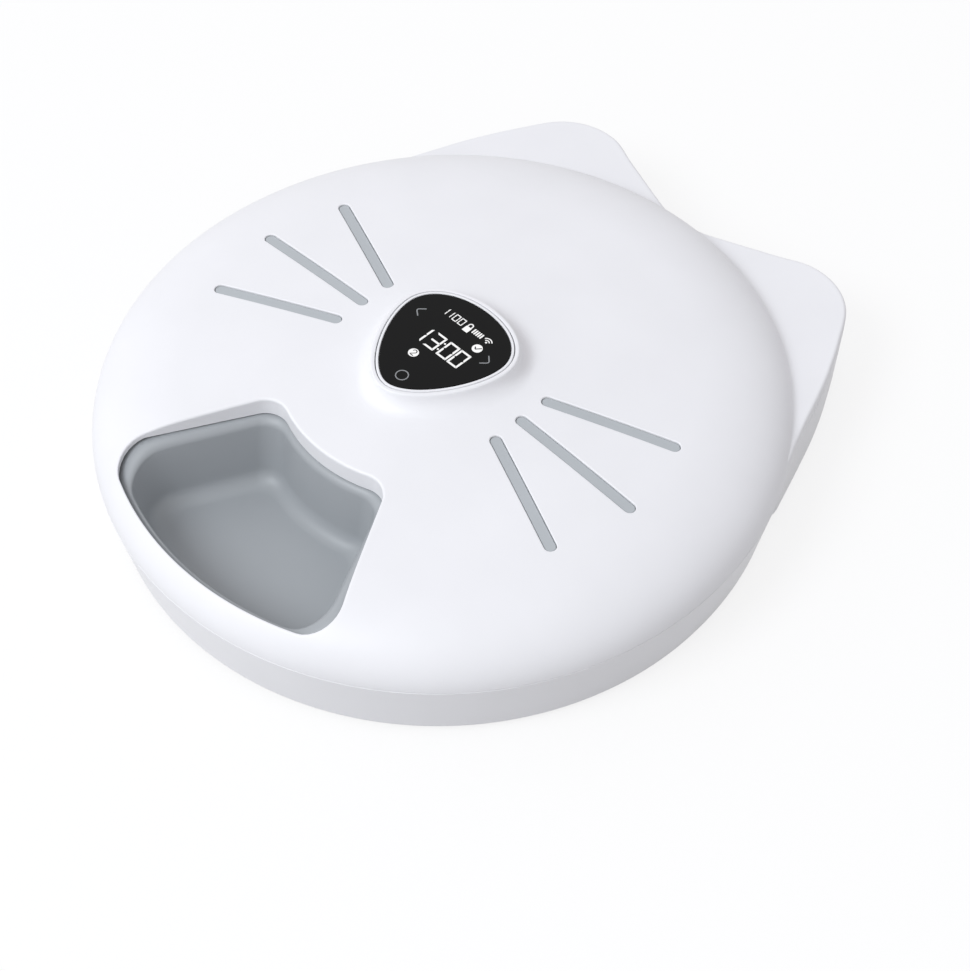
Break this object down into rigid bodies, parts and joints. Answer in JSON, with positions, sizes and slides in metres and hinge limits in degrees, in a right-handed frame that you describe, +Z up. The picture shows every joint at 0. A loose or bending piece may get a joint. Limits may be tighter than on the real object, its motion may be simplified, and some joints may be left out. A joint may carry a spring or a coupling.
{
  "type": "automatic pet feeder",
  "caption": "Cat-shaped domed pet feeder with a lift-off lid, a nose-shaped display console and a turning food tray under one meal opening.",
  "frame": {"origin": "middle of the footprint, on the surface that the feet stand on", "axes": "+Z up, +Y from the meal opening towards the ears, +X to the feeder's right as seen from the meal opening with the ears at the far side"},
  "size_m": [0.31, 0.337, 0.0756],
  "materials": {
    "shell_white": "smooth satin moulded plastic, cool white",
    "inner_white": "plain matt moulded plastic, off-white",
    "whisker_grey": "fine matt moulded plastic, light grey",
    "tray_grey": "smooth satin food-safe plastic, mid grey",
    "display_black": "polished black touch cover with white printed signs and lit digits",
    "dark_plastic": "matt dark grey plastic",
    "gear_plastic": "smooth low-friction plastic, natural white",
    "button_grey": "matt light grey plastic",
    "foot_rubber": "matt grey rubber",
    "seal_rubber": "soft pale grey silicone",
    "ice_pack": "glossy pale blue blown plastic filled with gel",
    "board_green": "green solder mask on a fibreglass board",
    "ribbon_amber": "thin amber film cable",
    "screw_steel": "zinc-plated steel",
    "motor_steel": "plain steel case",
    "contact_nickel": "nickel-plated",
    "cell_wrap": "printed film wrap, plain dark grey"
  },
  "bodies": {
    "base": {"base_magnet_right": "contact_nickel", "base_magnet_left": "contact_nickel", "base_pan": "shell_white", "chassis": "inner_white", "index_sensor": "dark_plastic", "gear_motor": "motor_steel", "console_housing": "shell_white", "display_glass": "display_black", "display_board": "board_green", "display_module": "dark_plastic", "display_ribbon": "ribbon_amber", "main_board": "board_green", "radio_module": "motor_steel", "buzzer": "dark_plastic", "battery_contact_back": "contact_nickel", "battery_contact_front": "contact_nickel", "inlet_board": "board_green", "usb_socket": "contact_nickel", "key_switch": "dark_plastic", "power_lead": "dark_plastic", "rim_seal": "seal_rubber", "ice_pack_right": "ice_pack", "ice_pack_left": "ice_pack", "pan_screw_1": "screw_steel", "pan_screw_2": "screw_steel", "pan_screw_3": "screw_steel", "pan_screw_4": "screw_steel", "pan_screw_5": "screw_steel", "pan_screw_6": "screw_steel", "motor_screw_1": "screw_steel", "motor_screw_2": "screw_steel", "console_screw_1": "screw_steel", "console_screw_2": "screw_steel", "board_screw_1": "screw_steel", "board_screw_2": "screw_steel", "roller_axle_1": "screw_steel", "roller_axle_2": "screw_steel", "roller_axle_3": "screw_steel", "battery_cell_1": "cell_wrap", "foot_1": "foot_rubber", "battery_cell_2": "cell_wrap", "foot_2": "foot_rubber", "battery_cell_3": "cell_wrap", "foot_3": "foot_rubber", "battery_cell_4": "cell_wrap", "foot_4": "foot_rubber"},
    "carousel": {"turntable": "gear_plastic", "index_magnet": "contact_nickel"},
    "tray": {"food_tray": "tray_grey"},
    "lid": {"lid_shell": "shell_white", "whisker_inlay_right": "whisker_grey", "whisker_inlay_left": "whisker_grey", "lid_magnet_right": "contact_nickel", "lid_magnet_left": "contact_nickel"},
    "pinion": {"drive_pinion": "gear_plastic"},
    "roller_1": {"support_roller_1": "dark_plastic"},
    "roller_2": {"support_roller_2": "dark_plastic"},
    "roller_3": {"support_roller_3": "dark_plastic"},
    "battery_door": {"battery_door": "shell_white"},
    "power_button": {"power_button": "button_grey"}
  },
  "joints": [
    {"name": "tray_turn", "type": "hinge", "parent": "base", "child": "carousel", "pos_m": [0, -0.01349, 0.018], "axis": [0, 0, 1], "continuous": true},
    {"name": "tray_lift", "type": "slide", "parent": "carousel", "child": "tray", "axis": [0, 0, 1], "range_m": [0, 0.08]},
    {"name": "lid_lift", "type": "slide", "parent": "base", "child": "lid", "axis": [0, 0, 1], "range_m": [0, 0.16]},
    {"name": "pinion_spin", "type": "hinge", "parent": "base", "child": "pinion", "pos_m": [0.048, -0.01349, 0.018], "axis": [0, 0, 1], "continuous": true},
    {"name": "roller_1_spin", "type": "hinge", "parent": "base", "child": "roller_1", "pos_m": [0, 0.05601, 0.0127], "axis": [0, 1, 0], "continuous": true},
    {"name": "roller_2_spin", "type": "hinge", "parent": "base", "child": "roller_2", "pos_m": [-0.06019, -0.04824, 0.0127], "axis": [-0.866, -0.5, 0], "continuous": true},
    {"name": "roller_3_spin", "type": "hinge", "parent": "base", "child": "roller_3", "pos_m": [0.06019, -0.04824, 0.0127], "axis": [0.866, -0.5, 0], "continuous": true},
    {"name": "battery_door_swing", "type": "hinge", "parent": "base", "child": "battery_door", "pos_m": [0, -0.04614, 0.0034], "axis": [-1, 0, 0], "range_deg": [0, 95]},
    {"name": "power_button_press", "type": "slide", "parent": "base", "child": "power_button", "axis": [0, -1, 0], "range_m": [0, 0.0012], "stiffness_N_per_m": 400}
  ],
  "couplings": [
    {"joint": "tray_lift", "follows": "lid_lift", "ratio": 0.5},
    {"joint": "pinion_spin", "follows": "tray_turn", "ratio": 5},
    {"joint": "roller_1_spin", "follows": "tray_turn", "ratio": -17.375},
    {"joint": "roller_2_spin", "follows": "tray_turn", "ratio": -17.375},
    {"joint": "roller_3_spin", "follows": "tray_turn", "ratio": -17.375}
  ]
}
